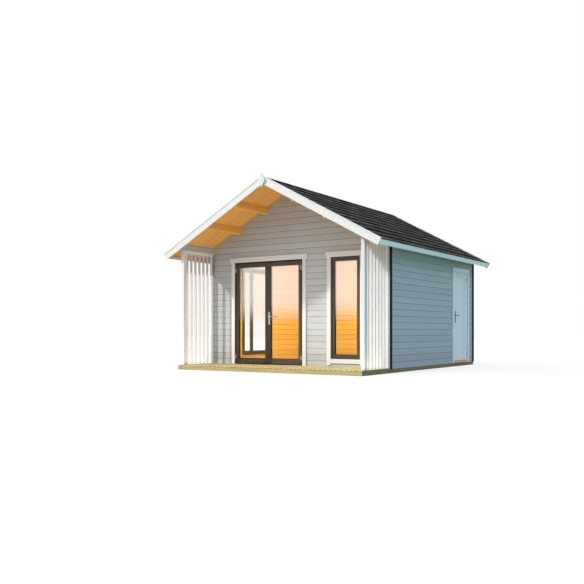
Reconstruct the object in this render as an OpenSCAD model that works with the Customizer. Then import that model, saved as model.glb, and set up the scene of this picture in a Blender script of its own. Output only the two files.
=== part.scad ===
// Garden log cabin with a gabled porch, screened sides, double glazed doors and a side door.
// Millimetres, +Z up, +Y from the porch to the back wall, origin under the middle of the cabin.

/* [Plan] */
// Width over the side walls
house_w = 4000; // [3700:10:4600]
// Length of the closed room over the front and back walls
house_l = 4310; // [4200:10:5200]
// Depth of the porch, from the deck's front edge to the front wall
porch_l = 1050; // [800:10:1600]

/* [Base] */
// Height of the bearers that the walls stand on
bearer_h = 70; // [50:1:120]
// Width of a bearer
bearer_w = 60; // [40:1:100]
// Largest distance between the joists
joist_pitch = 450; // [300:10:600]
// Thickness of the deck and the floor
deck_t = 20; // [18:1:34]

/* [Log walls] */
// Height of one log, joint to joint
log_h = 118; // [90:1:150]
// Thickness of the logs
log_t = 44; // [34:1:70]
// Height of the side walls on their outer face
wall_h = 2334; // [2250:2:2600]
// Depth of the V joint between two logs
groove_d = 5; // [2:0.5:8]
// Height of the V joint between two logs
groove_w = 9; // [4:0.5:14]
// Width of the dark boards on the wall ends
corner_w = 75; // [50:1:120]
// Thickness of the boards on the wall ends
corner_t = 16; // [6:1:24]

/* [Roof] */
// Slope of the roof in degrees
pitch = 28.5; // [24:0.5:34]
// Thickness of the roof boards
board_t = 19; // [16:1:28]
// Thickness of the shingle covering
cover_t = 6; // [4:1:12]
// How far the roof boards reach past the side walls, level
eave_over = 311; // [200:1:450]
// How far the front bargeboards stand out past the deck
front_over = 15; // [0:1:200]
// How far the back bargeboards stand out past the back wall
back_over = 75; // [50:1:250]
// How far the covering reaches past the eave boards
cover_lip = 10; // [0:1:30]
// Width of the ridge cap on each slope
cap_w = 120; // [80:5:180]
// Thickness of the ridge cap
cap_t = 4; // [3:0.5:8]
// Gap between the layers of the roof, and under and round the roof boards
lay_gap = 0.1; // [0.05:0.05:0.5]

/* [Purlins] */
// Width of a purlin
purlin_w = 45; // [40:1:80]
// Depth of a purlin on its upper side
purlin_h = 150; // [110:1:180]
// Distance of the upper purlins from the middle
upper_purlin_x = 600; // [450:10:750]
// Distance of the lower purlins from the middle
lower_purlin_x = 1243; // [1050:1:1400]
// Width of the ridge purlin
ridge_purlin_w = 70; // [50:1:90]
// Depth of the ridge purlin under the ridge
ridge_purlin_h = 95; // [70:1:105]

/* [Bargeboards and eaves] */
// Thickness of a bargeboard
barge_t = 20; // [16:1:28]
// How far a bargeboard hangs below the roof boards
barge_drop = 92; // [60:1:130]
// How far a bargeboard stands up above the underside of the roof boards
barge_rise = 44; // [36:1:70]
// How far a bargeboard reaches past the eave board
barge_lip = 8; // [0:1:30]
// Width of the strip along the top of a bargeboard
strip_w = 22; // [12:1:45]
// Thickness of that strip
strip_t = 6; // [4:1:22]
// Width of the diamond plate over the apex
plate_w = 152; // [110:1:200]
// Height of the diamond plate
plate_h = 257; // [200:1:320]
// Thickness of the diamond plate
plate_t = 24; // [18:1:30]
// Height of the diamond's middle above the ridge of the roof boards
plate_rise = -40; // [-60:1:0]
// Thickness of the eave boards
fascia_t = 20; // [16:1:28]
// How far the eave boards hang below the roof boards
fascia_drop = 72; // [40:1:120]

/* [Porch] */
// Width of a post, across the cabin
post_w = 70; // [60:1:110]
// Depth of a post, along the cabin
post_d = 88; // [60:1:120]
// Distance of the posts from the deck's front edge
post_set = 93; // [40:1:200]
// Height of the eave beams on their outer face
beam_h = 84; // [60:1:140]
// Number of screen slats on each side
slat_count = 7; // [4:1:10]
// Thickness of a slat, along the cabin
slat_t = 22; // [16:1:30]
// Depth of a slat, across the cabin
slat_d = 48; // [30:1:60]
// Height of the rail that the slats hang from
rail_h = 50; // [30:1:80]

/* [Double door] */
// Distance of the double door's middle from the middle of the house, to the left
door_x = 606; // [500:1:700]
// Width over the door frame
door_w = 1600; // [1400:10:1640]
// Distance of the front openings' heads below the side walls' top
front_head = 292; // [150:2:400]
// Width of the frame that shows beside a leaf
jamb_w = 25; // [20:1:40]
// Depth of the door and window frames
frame_d = 70; // [60:1:110]
// Height of the door sill
sill_h = 30; // [25:1:45]
// Width of the stop that a leaf closes on
stop_w = 17; // [12:1:24]
// Thickness of a leaf
leaf_t = 45; // [40:1:50]
// Running gap round a leaf
leaf_gap = 5; // [5:0.5:8]
// Width of a glazed leaf's stiles
stile_w = 65; // [60:1:110]
// Height of a glazed leaf's top rail
top_rail = 72; // [60:1:120]
// Height of a glazed leaf's bottom rail
bottom_rail = 95; // [80:1:200]

/* [Windows] */
// Distance of the front window's middle from the middle of the house, to the right
window_x = 1115; // [1090:1:1140]
// Width over the front window's frame
window_w = 611; // [500:1:640]
// Height of the window frames' bottom above the bearers
window_sill = 159; // [140:1:400]
// Distance of the left wall's window from the front wall, along the cabin
left_window_y = 990; // [700:10:1200]
// Width over the left wall's window frame
left_window_w = 1120; // [900:10:1300]
// Width of that window's narrow light
narrow_light = 235; // [150:5:300]
// Width of a window's outer frame
frame_w = 30; // [22:1:40]
// Width of a window's sash
sash_w = 45; // [35:1:60]
// How far a sash sits behind its frame
sash_set = 8; // [4:1:12]
// Thickness of a glass unit
glass_t = 18; // [12:1:24]
// How deep a glass unit sits in its frame
glass_rebate = 8; // [5:1:14]
// Clearance round a glass unit
glass_fit = 0.2; // [0.1:0.1:0.6]

/* [Side door] */
// Distance of the side door's frame from the back wall
side_door_back = 394; // [300:2:800]
// Width over the side door's frame
side_door_w = 821; // [780:1:900]
// Distance of the side opening's head below the side walls' top
side_head = 396; // [300:2:500]
// Height of the threshold
threshold_h = 47; // [35:1:60]
// How far the threshold stands out of the wall
threshold_out = 30; // [20:1:60]
// Width of the side leaf's stiles
side_stile_w = 130; // [110:1:160]
// Height of the side leaf's top rail
side_top_rail = 65; // [60:1:130]
// Height of the side leaf's bottom rail
side_bottom_rail = 83; // [80:1:200]
// How deep the side leaf's panel lies
panel_set = 9; // [5:1:14]

/* [Casings] */
// Width of the boards round an opening
casing_w = 80; // [60:1:95]
// Thickness of those boards
casing_t = 18; // [14:1:24]
// Height of the boards over the front openings
casing_head = 98; // [70:1:120]
// How far a head board reaches past the boards below it
casing_ear = 27; // [10:1:40]
// How far a window's side boards run on below its bottom board
casing_leg = 34; // [0:1:45]

/* [Hardware] */
// Height of a hinge
hinge_h = 86; // [70:1:110]
// Radius of a hinge's barrel
barrel_r = 8; // [7:0.5:9]
// Radius of a hinge's pin
pin_r = 4.5; // [3.5:0.5:5]
// Clearance of the pin in the upper barrel
pin_fit = 0.05; // [0.02:0.01:0.1]
// Distance of a hinge's pin from the leaf's face
pin_out = 10; // [9.5:0.5:11]
// Distance of the hinges from the leaf's ends
hinge_inset = 85; // [60:5:150]
// Thickness of the closed top of a hinge
hinge_top = 3; // [2:0.5:5]
// Radius of the stud on each half of a hinge
stud_r = 4; // [3:0.5:4.5]
// Angle between a hinge's studs and the line straight into the wood
stud_turn = 45; // [42:1:50]
// Thickness of the wood that is left behind a stud in the frame
stud_wall = 3; // [2:0.5:5]
// Clearance of a stud in its hole
stud_fit = 0.1; // [0.05:0.05:0.3]
// Play between the two barrels of a hinge
hinge_play = 0.5; // [0.3:0.1:1]
// Height of the double door's lever above the bearers
lever_z = 956; // [900:2:1050]
// Height of the side door's lever above the bearers
side_lever_z = 1008; // [900:2:1050]
// Length of a lever's grip
lever_l = 135; // [110:1:150]
// Radius of a lever's grip and neck
lever_r = 8; // [7:0.5:10]
// Distance of a lever's grip from the leaf's face
lever_out = 52; // [45:1:60]
// Clearance of a lever's neck
lever_fit = 0.4; // [0.3:0.1:0.8]
// Width of a lock plate
lock_w = 32; // [28:1:44]
// Height of a lock plate
lock_h = 246; // [200:2:260]
// Thickness of a lock plate
lock_t = 6; // [4:1:8]
// Height of a lock plate above the lever's middle
lock_above = 90; // [70:1:100]

/* [Hidden] */
$fn = 48;
half_w = house_w / 2;
deck_y = -(porch_l + house_l + back_over - front_over) / 2;
front_y = deck_y + porch_l;
back_y = front_y + house_l;
barge_front_y = deck_y - front_over;
barge_back_y = back_y + back_over;
roof_y = barge_front_y + barge_t;
roof_l = barge_back_y - barge_t - roof_y;
inner_w = house_w - 2 * log_t;
wall_z = bearer_h;
floor_z = bearer_h + deck_t;
eave_z = wall_z + wall_h;
ridge_z = eave_z + half_w * tan(pitch);
eave_s = (half_w + eave_over) / cos(pitch);
fascia_s = eave_s + fascia_t;
board_top = lay_gap + board_t;
cover_n = board_top + lay_gap;
cover_top = cover_n + cover_t;
cap_n = cover_top + lay_gap;
beam_z = eave_z - beam_h;
front_head_z = eave_z - front_head;
side_head_z = eave_z - side_head;
window_z = wall_z + window_sill;
window_h = front_head_z - window_z;
door_left = -door_x - door_w / 2;
door_right = door_left + door_w;
window_right = window_x + window_w / 2;
window_left = window_right - window_w;
left_window_y0 = front_y + left_window_y;
left_window_y1 = left_window_y0 + left_window_w;
light_edge = frame_w + sash_w;
side_y1 = back_y - side_door_back;
side_y0 = side_y1 - side_door_w;
threshold_z = wall_z + threshold_h;
leaf_w = (door_w - 2 * jamb_w - 3 * leaf_gap) / 2;
leaf_z = wall_z + sill_h + leaf_gap;
leaf_h = front_head_z - jamb_w - leaf_gap - leaf_z;
left_leaf_x = door_left + jamb_w + leaf_gap;
right_leaf_x = left_leaf_x + leaf_w + leaf_gap;
side_leaf_y = side_y0 + jamb_w + leaf_gap;
side_leaf_w = side_door_w - 2 * jamb_w - 2 * leaf_gap;
side_leaf_z = threshold_z + leaf_gap;
side_leaf_h = side_head_z - jamb_w - leaf_gap - side_leaf_z;
left_pin_x = left_leaf_x - leaf_gap / 2;
right_pin_x = right_leaf_x + leaf_w + leaf_gap / 2;
front_pin_y = front_y - pin_out;
upper_half_z = hinge_h / 2 + hinge_play;
stud_l = (jamb_w + leaf_gap / 2 - stud_wall - stud_r * cos(stud_turn)) / sin(stud_turn);
side_pin_x = half_w + pin_out;
side_pin_y = side_leaf_y + side_leaf_w + leaf_gap / 2;
front_lever_x = right_leaf_x + stile_w / 2;
side_lever_y = side_leaf_y + side_stile_w / 2;
grip_z = wall_z + lever_z;
side_grip_z = wall_z + side_lever_z;
stop_y = front_y + leaf_t + leaf_gap;
stop_d = frame_d - leaf_t - leaf_gap;
slat_y = deck_y + post_set + post_d;
slat_pitch = (front_y - slat_y) / slat_count;
past = 1;

WHITE = [0.93, 0.93, 0.92];
GREY = [0.72, 0.71, 0.69];
PINE = [0.85, 0.62, 0.34];
TREATED = [0.76, 0.69, 0.46];
BROWN = [0.22, 0.18, 0.16];
BLACK = [0.09, 0.09, 0.10];
STEEL = [0.74, 0.75, 0.76];
GLASS = [0.75, 0.82, 0.85, 0.4];

// Height of the roof boards' underside at a distance from the middle
function soffit_z(x) = ridge_z - abs(x) * tan(pitch);

// A point s down the slope from the ridge and n out from the roof boards' underside
function slope_point(s, n) = [s * cos(pitch) + n * sin(pitch), ridge_z - s * sin(pitch) + n * cos(pitch)];

function reversed(list) = [for (i = [len(list) - 1:-1:0]) list[i]];

// One face of a log wall from z0 to z1, with a V joint at every course between them
function log_face(at, inward, z0, z1) = [
  [at, z0],
  for (z = [wall_z + log_h:log_h:z1 - groove_w])
    if (z > z0 + groove_w)
      each [[at, z - groove_w / 2], [at + inward * groove_d, z], [at, z + groove_w / 2]],
  [at, z1]
];

// Section of a log wall whose outer face is at "at", with its own height on each face
module log_section(at, inward, z0, outer_z, inner_z) {
  polygon(concat(
    log_face(at, inward, z0, outer_z),
    reversed(log_face(at + inward * log_t, -inward, z0, inner_z))
  ));
}

// Extrude a shape drawn in X and Z towards +Y
module along_y(y, l) {
  translate([0, y + l, 0]) rotate([90, 0, 0]) linear_extrude(l) children();
}

// Extrude a shape drawn in Y and Z towards +X
module along_x(x, l) {
  translate([x, 0, 0]) rotate([90, 0, 90]) linear_extrude(l) children();
}

module on_left() {
  mirror([1, 0, 0]) children();
}

module both_sides() {
  children();
  on_left() children();
}

module rect(x0, x1, z0, z1) {
  translate([x0, z0]) square([x1 - x0, z1 - z0]);
}

// A flat ring with its own width on each side
module ring(x0, x1, z0, z1, side, bottom, top) {
  difference() {
    rect(x0, x1, z0, z1);
    rect(x0 + side, x1 - side, z0 + bottom, z1 - top);
  }
}

// Part of the front or back wall between two places across the cabin
module cross_wall(at, inward, x0, x1, z0, z1) {
  along_x(x0, x1 - x0) log_section(at, inward, z0, z1, z1);
}

// Part of the right wall, up to the roof
module long_wall(y0, y1, z0) {
  along_y(y0, y1 - y0) log_section(half_w, -1, z0, eave_z, soffit_z(half_w - log_t));
}

// Band of the right slope between two heights over the roof boards' underside
module slope_band(n0, n1, s) {
  polygon([
    slope_point(-n0 * tan(pitch), n0),
    slope_point(s, n0),
    slope_point(s, n1),
    slope_point(-n1 * tan(pitch), n1)
  ]);
}

module purlin_section(x) {
  bottom = soffit_z(x) - purlin_h;
  polygon([
    [x, bottom],
    [x + purlin_w, bottom],
    [x + purlin_w, soffit_z(x + purlin_w)],
    [x, soffit_z(x)]
  ]);
}

module ridge_section() {
  edge = ridge_purlin_w / 2;
  polygon([
    [-edge, ridge_z - ridge_purlin_h],
    [edge, ridge_z - ridge_purlin_h],
    [edge, soffit_z(edge)],
    [0, ridge_z],
    [-edge, soffit_z(edge)]
  ]);
}

module purlin_sections() {
  both_sides() {
    purlin_section(upper_purlin_x);
    purlin_section(lower_purlin_x);
  }
  ridge_section();
}

// End wall from z0 up to the roof, with the purlins let into it
module gable_wall(at, inward, z0) {
  outer_y = min(at, at + inward * log_t);
  difference() {
    intersection() {
      cross_wall(at, inward, -half_w, half_w, z0, ridge_z);
      along_y(outer_y, log_t)
        polygon([[-half_w, z0], [half_w, z0], [half_w, eave_z], [0, ridge_z], [-half_w, eave_z]]);
    }
    along_y(outer_y - past, log_t + 2 * past) purlin_sections();
  }
}

module base_frame() {
  total_l = porch_l + house_l;
  spaces = ceil((total_l - bearer_w) / joist_pitch);
  step = (total_l - bearer_w) / spaces;
  color(TREATED) {
    for (x = [-half_w, -bearer_w / 2, half_w - bearer_w])
      translate([x, deck_y, 0]) cube([bearer_w, total_l, bearer_h]);
    for (i = [0:spaces])
      translate([-half_w, deck_y + i * step, 0]) cube([house_w, bearer_w, bearer_h]);
    translate([-half_w, front_y - bearer_w / 2, 0]) cube([house_w, bearer_w + log_t, bearer_h]);
  }
}

module porch_deck() {
  color(TREATED) translate([-half_w, deck_y, wall_z]) cube([house_w, porch_l, deck_t]);
}

// The floor stops short at the door frames, which reach into the room
module room_floor() {
  reach = frame_d - log_t;
  color(PINE) translate([0, 0, wall_z]) linear_extrude(deck_t) difference() {
    rect(-inner_w / 2, inner_w / 2, front_y + log_t, back_y - log_t);
    rect(door_left, door_right, front_y, front_y + log_t + reach);
    rect(inner_w / 2 - reach, half_w, side_y0, side_y1);
  }
}

module front_wall_left() {
  color(GREY) cross_wall(front_y, 1, -half_w, door_left, wall_z, front_head_z);
}

module front_wall_middle() {
  color(GREY) cross_wall(front_y, 1, door_right, window_left, wall_z, front_head_z);
}

module front_wall_right() {
  color(GREY) cross_wall(front_y, 1, window_right, half_w, wall_z, front_head_z);
}

module front_gable() {
  color(GREY) gable_wall(front_y, 1, front_head_z);
}

module right_wall_front() {
  color(GREY) long_wall(front_y + log_t, side_y0, wall_z);
}

module right_wall_back() {
  color(GREY) long_wall(side_y1, back_y - log_t, wall_z);
}

module left_wall_front() {
  color(GREY) on_left() long_wall(front_y + log_t, left_window_y0, wall_z);
}

module left_wall_back() {
  color(GREY) on_left() long_wall(left_window_y1, back_y - log_t, wall_z);
}

// Logs under the two windows, over the left window and over the side door
module infill_logs() {
  color(GREY) {
    cross_wall(front_y, 1, window_left, window_right, wall_z, window_z);
    on_left() {
      along_y(left_window_y0, left_window_w) log_section(half_w, -1, wall_z, window_z, window_z);
      long_wall(left_window_y0, left_window_y1, front_head_z);
    }
    long_wall(side_y0, side_y1, side_head_z);
  }
}

module back_wall() {
  color(GREY) gable_wall(back_y, -1, wall_z);
}

module corner_boards() {
  outer_x = half_w + corner_t;
  color(BLACK) both_sides() for (y = [front_y, back_y - corner_w])
    along_y(y, corner_w)
      polygon([[half_w, wall_z], [outer_x, wall_z], [outer_x, soffit_z(outer_x)], [half_w, eave_z]]);
}

module eave_beams() {
  inner_x = half_w - post_w;
  color(GREY) both_sides() along_y(roof_y, front_y - roof_y)
    polygon([[inner_x, beam_z], [half_w, beam_z], [half_w, eave_z], [inner_x, soffit_z(inner_x)]]);
}

module purlins() {
  color(PINE) along_y(roof_y, roof_l) purlin_sections();
}

module roof_boards() {
  color(PINE) along_y(roof_y, roof_l) slope_band(lay_gap, board_top, eave_s - lay_gap);
}

module left_roof_boards() {
  on_left() roof_boards();
}

module right_roof_boards() {
  roof_boards();
}

module roof_covering() {
  color(BLACK) along_y(roof_y, roof_l) slope_band(cover_n, cover_top, fascia_s + cover_lip);
}

module left_roof_covering() {
  on_left() roof_covering();
}

module right_roof_covering() {
  roof_covering();
}

module ridge_cap() {
  cap_top = cap_n + cap_t;
  edge = [slope_point(cap_w, cap_n), slope_point(cap_w, cap_top)];
  color(BLACK) along_y(roof_y, roof_l) polygon([
    slope_point(-cap_n * tan(pitch), cap_n),
    edge[0],
    edge[1],
    slope_point(-cap_top * tan(pitch), cap_top),
    [-edge[1].x, edge[1].y],
    [-edge[0].x, edge[0].y]
  ]);
}

module bargeboards() {
  color(WHITE) for (y = [barge_front_y, barge_back_y - barge_t])
    along_y(y, barge_t) slope_band(-barge_drop, barge_rise, fascia_s + barge_lip);
}

module left_bargeboards() {
  on_left() bargeboards();
}

module right_bargeboards() {
  bargeboards();
}

module diamond() {
  middle = ridge_z + plate_rise;
  polygon([
    [0, middle - plate_h / 2],
    [plate_w / 2, middle],
    [0, middle + plate_h / 2],
    [-plate_w / 2, middle]
  ]);
}

module edge_strips() {
  color(WHITE) for (y = [barge_front_y - strip_t, barge_back_y])
    along_y(y, strip_t) difference() {
      both_sides() slope_band(barge_rise - strip_w, barge_rise, fascia_s + barge_lip);
      diamond();
    }
}

module apex_plates() {
  color(WHITE) for (y = [barge_front_y - plate_t, barge_back_y]) along_y(y, plate_t) diamond();
}

module eave_fascias() {
  color(WHITE) both_sides() along_y(roof_y, roof_l) polygon([
    slope_point(eave_s, -fascia_drop),
    slope_point(fascia_s, -fascia_drop),
    slope_point(fascia_s, board_top),
    slope_point(eave_s, board_top)
  ]);
}

module porch_posts() {
  color(WHITE) both_sides()
    translate([half_w - post_w, deck_y + post_set, floor_z]) cube([post_w, post_d, beam_z - floor_z]);
}

// Slats on edge, let into the rail that they hang from
module screen() {
  slat_x = half_w - slat_d;
  color(WHITE) {
    for (i = [0:slat_count - 1])
      translate([slat_x, slat_y + (i + 0.5) * slat_pitch - slat_t / 2, floor_z])
        cube([slat_d, slat_t, beam_z - floor_z]);
    translate([slat_x, slat_y, beam_z - rail_h]) cube([slat_d, front_y - slat_y, rail_h]);
  }
}

module left_screen() {
  on_left() screen();
}

module right_screen() {
  screen();
}

module door_frame() {
  color(BROWN) difference() {
    union() {
      along_y(front_y, frame_d) ring(door_left, door_right, wall_z, front_head_z, jamb_w, sill_h, jamb_w);
      along_y(stop_y, stop_d)
        ring(door_left, door_right, wall_z, front_head_z, jamb_w + stop_w, sill_h + stop_w, jamb_w + stop_w);
    }
    at_left_pin() hinge_pair(leaf_z, leaf_h) lower_stud(stud_fit);
    at_right_pin() hinge_pair(leaf_z, leaf_h) lower_stud(stud_fit);
  }
}

// Hinge barrels stand on Z, with the leaf towards +X and its face at y = pin_out
module stud(side, more) {
  rotate([-90, 0, -side * stud_turn]) cylinder(h = stud_l + more, r = stud_r + more);
}

// Stud of the lower half, which goes into the frame
module lower_stud(more) {
  translate([0, 0, hinge_h / 4]) stud(-1, more);
}

// Stud of the upper half, which goes into the leaf
module upper_stud(more) {
  translate([0, 0, (upper_half_z + hinge_h) / 2]) stud(1, more);
}

module lower_hinge() {
  cylinder(h = hinge_h / 2, r = barrel_r);
  cylinder(h = hinge_h - hinge_top, r = pin_r);
  lower_stud(0);
}

module upper_hinge() {
  difference() {
    union() {
      translate([0, 0, upper_half_z]) cylinder(h = hinge_h - upper_half_z, r = barrel_r);
      upper_stud(0);
    }
    translate([0, 0, -past]) cylinder(h = hinge_h - hinge_top + hinge_play + past, r = pin_r + pin_fit);
  }
}

// A hinge near each end of a leaf
module hinge_pair(z, h) {
  for (at = [z + hinge_inset, z + h - hinge_inset - hinge_h]) translate([0, 0, at]) children();
}

module at_left_pin() {
  translate([left_pin_x, front_pin_y, 0]) children();
}

module at_right_pin() {
  translate([right_pin_x, front_pin_y, 0]) mirror([1, 0, 0]) children();
}

module at_side_pin() {
  translate([side_pin_x, side_pin_y, 0]) rotate([0, 0, 90]) mirror([1, 0, 0]) children();
}

module frame_hinges() {
  color(STEEL) {
    at_left_pin() hinge_pair(leaf_z, leaf_h) lower_hinge();
    at_right_pin() hinge_pair(leaf_z, leaf_h) lower_hinge();
    at_side_pin() hinge_pair(side_leaf_z, side_leaf_h) lower_hinge();
  }
}

// Area of a glazed leaf's glass, grown by "more" on every side
module leaf_light(x, more) {
  rect(
    x + stile_w - more, x + leaf_w - stile_w + more,
    leaf_z + bottom_rail - more, leaf_z + leaf_h - top_rail + more
  );
}

module glazed_leaf(x) {
  glass_y = front_y + (leaf_t - glass_t) / 2;
  color(BROWN) difference() {
    along_y(front_y, leaf_t) ring(x, x + leaf_w, leaf_z, leaf_z + leaf_h, stile_w, bottom_rail, top_rail);
    along_y(glass_y - glass_fit, glass_t + 2 * glass_fit) leaf_light(x, glass_rebate + glass_fit);
  }
}

module leaf_glass(x) {
  color(GLASS) along_y(front_y + (leaf_t - glass_t) / 2, glass_t) leaf_light(x, glass_rebate);
}

module left_door_leaf() {
  color(BROWN) difference() {
    glazed_leaf(left_leaf_x);
    at_left_pin() hinge_pair(leaf_z, leaf_h) upper_stud(stud_fit);
  }
}

module left_door_glass() {
  leaf_glass(left_leaf_x);
}

module left_leaf_hardware() {
  color(STEEL) at_left_pin() hinge_pair(leaf_z, leaf_h) upper_hinge();
}

// Levers turn on Y at the origin, with the leaf between y = 0 and y = leaf_t
module at_front_lever() {
  translate([front_lever_x, front_y, grip_z]) children();
}

module at_side_lever() {
  translate([half_w, side_lever_y, side_grip_z]) rotate([0, 0, 90]) children();
}

module across_leaf(y, l, r) {
  translate([0, y, 0]) rotate([-90, 0, 0]) cylinder(h = l, r = r);
}

module lever_set() {
  color(STEEL) {
    across_leaf(-lever_out, leaf_t + 2 * lever_out, lever_r);
    for (y = [-lever_out, leaf_t + lever_out]) translate([0, y, 0]) {
      sphere(r = lever_r);
      rotate([0, 90, 0]) cylinder(h = lever_l, r = lever_r);
      translate([lever_l, 0, 0]) sphere(r = lever_r);
    }
  }
}

module lock_plates() {
  for (y = [-lock_t, leaf_t])
    difference() {
      translate([-lock_w / 2, y, lock_above - lock_h]) cube([lock_w, lock_t, lock_h]);
      across_leaf(y - past, lock_t + 2 * past, lever_r + lever_fit);
    }
}

module lever_bore() {
  across_leaf(-past, leaf_t + 2 * past, lever_r + lever_fit);
}

module right_door_leaf() {
  color(BROWN) difference() {
    glazed_leaf(right_leaf_x);
    at_right_pin() hinge_pair(leaf_z, leaf_h) upper_stud(stud_fit);
    at_front_lever() lever_bore();
  }
}

module right_door_glass() {
  leaf_glass(right_leaf_x);
}

module right_leaf_hardware() {
  color(STEEL) {
    at_right_pin() hinge_pair(leaf_z, leaf_h) upper_hinge();
    at_front_lever() lock_plates();
  }
}

module door_lever() {
  at_front_lever() lever_set();
}

// Frame and sash of a window drawn from 0 to w, with a pane for each [start, end] in lights
module window_frame(w, lights) {
  pane_y = sash_set + (log_t - glass_t) / 2;
  difference() {
    union() {
      along_y(0, frame_d) ring(0, w, window_z, front_head_z, frame_w, frame_w, frame_w);
      along_y(sash_set, log_t) difference() {
        rect(0, w, window_z, front_head_z);
        for (light = lights)
          rect(light[0], light[1], window_z + light_edge, front_head_z - light_edge);
      }
    }
    along_y(pane_y - glass_fit, glass_t + 2 * glass_fit) window_lights(lights, glass_rebate + glass_fit);
  }
}

module window_lights(lights, more) {
  for (light = lights)
    rect(
      light[0] - more, light[1] + more,
      window_z + light_edge - more, front_head_z - light_edge + more
    );
}

module window_panes(lights) {
  along_y(sash_set + (log_t - glass_t) / 2, glass_t) window_lights(lights, glass_rebate);
}

function one_light() = [[light_edge, window_w - light_edge]];

function two_lights() = [
  [light_edge, light_edge + narrow_light],
  [2 * light_edge + narrow_light, left_window_w - light_edge]
];

module at_front_window() {
  translate([window_left, front_y, 0]) children();
}

module at_left_window() {
  translate([-half_w, left_window_y1, 0]) rotate([0, 0, -90]) children();
}

module window_frames() {
  color(BROWN) {
    at_front_window() window_frame(window_w, one_light());
    at_left_window() window_frame(left_window_w, left_window_lights());
  }
}

// The left window is seen from outside, so its narrow light comes last
function left_window_lights() = [
  for (light = two_lights()) [left_window_w - light[1], left_window_w - light[0]]
];

module window_glass() {
  color(GLASS) {
    at_front_window() window_panes(one_light());
    at_left_window() window_panes(left_window_lights());
  }
}

// Boards round a window drawn from 0 to w
module window_casing(w) {
  along_y(-casing_t, casing_t) {
    for (x = [-casing_w, w]) rect(x, x + casing_w, window_z - casing_w - casing_leg, front_head_z);
    rect(0, w, window_z - casing_w, window_z);
    rect(-casing_w - casing_ear, w + casing_w + casing_ear, front_head_z, front_head_z + casing_head);
  }
}

// Boards beside and over a doorway
module door_casing(x0, x1, z0, z1, head, ear) {
  for (x = [x0 - casing_w, x1]) rect(x, x + casing_w, z0, z1);
  rect(x0 - casing_w - ear, x1 + casing_w + ear, z1, z1 + head);
}

module casings() {
  color(WHITE) {
    along_y(front_y - casing_t, casing_t)
      door_casing(door_left, door_right, floor_z, front_head_z, casing_head, casing_ear);
    at_front_window() window_casing(window_w);
    at_left_window() window_casing(left_window_w);
    along_x(half_w, casing_t) door_casing(side_y0, side_y1, wall_z, side_head_z, casing_w, 0);
  }
}

module side_door_frame() {
  stop_x = half_w - frame_d;
  color(WHITE) difference() {
    union() {
      along_x(stop_x, frame_d)
        ring(side_y0, side_y1, wall_z - past, side_head_z, jamb_w, past, jamb_w);
      along_x(stop_x, stop_d)
        ring(side_y0, side_y1, wall_z - past, side_head_z, jamb_w + stop_w, past, jamb_w + stop_w);
    }
    along_x(stop_x - past, frame_d + 2 * past) rect(side_y0 - past, side_y1 + past, 0, wall_z);
    along_x(stop_x - past, frame_d + 2 * past)
      rect(side_y0 + jamb_w, side_y1 - jamb_w, wall_z, threshold_z);
    at_side_pin() hinge_pair(side_leaf_z, side_leaf_h) lower_stud(stud_fit);
  }
}

module side_threshold() {
  color(PINE) along_x(half_w - frame_d, frame_d + threshold_out)
    rect(side_y0 + jamb_w, side_y1 - jamb_w, wall_z, threshold_z);
}

module side_door_leaf() {
  color(WHITE) difference() {
    along_x(half_w - leaf_t, leaf_t)
      rect(side_leaf_y, side_leaf_y + side_leaf_w, side_leaf_z, side_leaf_z + side_leaf_h);
    for (x = [half_w - panel_set, half_w - leaf_t - past])
      along_x(x, panel_set + past) rect(
        side_leaf_y + side_stile_w, side_leaf_y + side_leaf_w - side_stile_w,
        side_leaf_z + side_bottom_rail, side_leaf_z + side_leaf_h - side_top_rail
      );
    at_side_pin() hinge_pair(side_leaf_z, side_leaf_h) upper_stud(stud_fit);
    at_side_lever() lever_bore();
  }
}

module side_leaf_hardware() {
  color(STEEL) {
    at_side_pin() hinge_pair(side_leaf_z, side_leaf_h) upper_hinge();
    at_side_lever() lock_plates();
  }
}

module side_lever() {
  at_side_lever() lever_set();
}

base_frame();
porch_deck();
room_floor();
front_wall_left();
front_wall_middle();
front_wall_right();
front_gable();
right_wall_front();
right_wall_back();
left_wall_front();
left_wall_back();
infill_logs();
back_wall();
corner_boards();
eave_beams();
purlins();
left_roof_boards();
right_roof_boards();
left_roof_covering();
right_roof_covering();
ridge_cap();
left_bargeboards();
right_bargeboards();
edge_strips();
apex_plates();
eave_fascias();
porch_posts();
left_screen();
right_screen();
door_frame();
frame_hinges();
left_door_leaf();
left_door_glass();
left_leaf_hardware();
right_door_leaf();
right_door_glass();
right_leaf_hardware();
door_lever();
window_frames();
window_glass();
casings();
side_door_frame();
side_threshold();
side_door_leaf();
side_leaf_hardware();
side_lever();
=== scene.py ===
import bpy, bmesh, math, random
from mathutils import Matrix, Vector


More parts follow.
